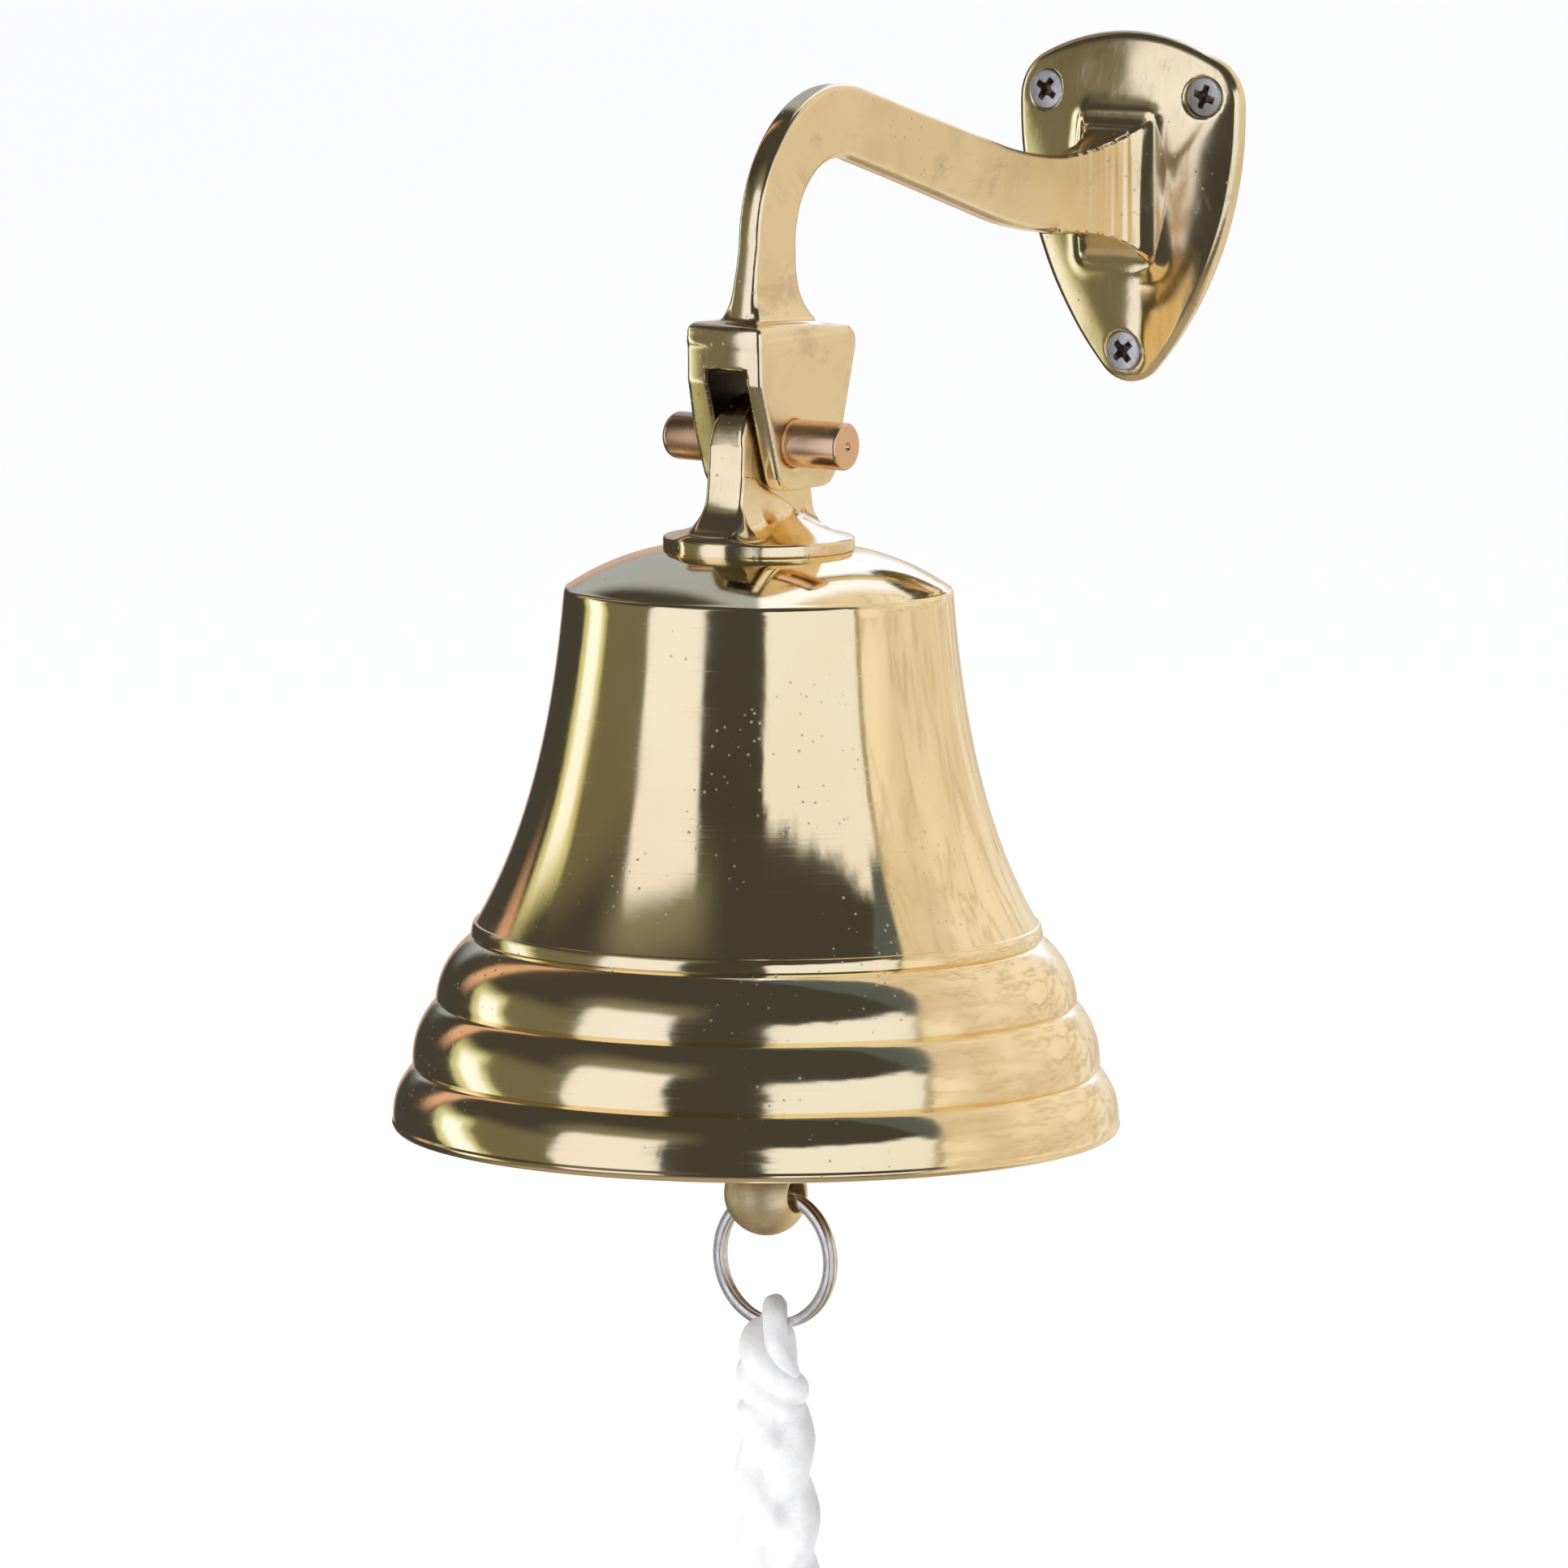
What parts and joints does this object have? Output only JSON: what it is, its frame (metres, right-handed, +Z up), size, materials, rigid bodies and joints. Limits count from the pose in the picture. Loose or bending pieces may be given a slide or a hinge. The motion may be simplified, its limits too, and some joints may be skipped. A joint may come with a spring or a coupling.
{
  "type": "ship bell",
  "caption": "Wall-mounted brass ship bell on a swan-neck bracket, pinned to swing, with an inner clapper, split ring and plaited rope lanyard.",
  "frame": {"origin": "on the wall face of the plate, on its centre line, at the height where the arm leaves the plate", "axes": "+Z up, +Y into the wall, +X along the wall and along the pivot pin; the arm reaches out along -Y"},
  "size_m": [0.125, 0.1901, 0.3756],
  "materials": {
    "polished_brass": "mirror polished cast brass, lightly worn",
    "plain_brass": "turned brass, unpolished",
    "satin_brass": "ground brass with fine scratches",
    "copper_pin": "polished copper-coloured bronze rod",
    "zinc_screw": "dull zinc plate",
    "steel_wire": "nickel-plated spring steel wire",
    "white_cotton": "soft white plaited cotton"
  },
  "bodies": {
    "bracket": {"wall_bracket": "polished_brass", "wall_screws": "zinc_screw", "pivot_pin": "copper_pin"},
    "bell": {"bell_hanger": "polished_brass", "bell_shell": "polished_brass", "crown_washer": "plain_brass", "crown_nut": "plain_brass"},
    "link": {"clapper_link": "steel_wire"},
    "clapper": {"clapper": "satin_brass"},
    "ring": {"split_ring": "steel_wire"},
    "rope": {"lanyard": "white_cotton"}
  },
  "joints": [
    {"name": "bell_swing", "type": "hinge", "parent": "bracket", "child": "bell", "pos_m": [0, -0.12, -0.036], "axis": [1, 0, 0], "range_deg": [-60, 28]},
    {"name": "clapper_swing", "type": "hinge", "parent": "bell", "child": "link", "pos_m": [0, -0.12, -0.0725], "axis": [1, 0, 0], "range_deg": [-28, 28]},
    {"name": "clapper_sway", "type": "hinge", "parent": "link", "child": "clapper", "pos_m": [0, -0.12, -0.079], "axis": [0, 1, 0], "range_deg": [-10, 10]},
    {"name": "ring_swing", "type": "hinge", "parent": "clapper", "child": "ring", "pos_m": [0, -0.12, -0.1655], "axis": [1, 0, 0], "range_deg": [-32, 32]},
    {"name": "lanyard_swing", "type": "hinge", "parent": "ring", "child": "rope", "pos_m": [0, -0.12, -0.18805], "axis": [1, 0, 0], "range_deg": [-45, 45]}
  ]
}
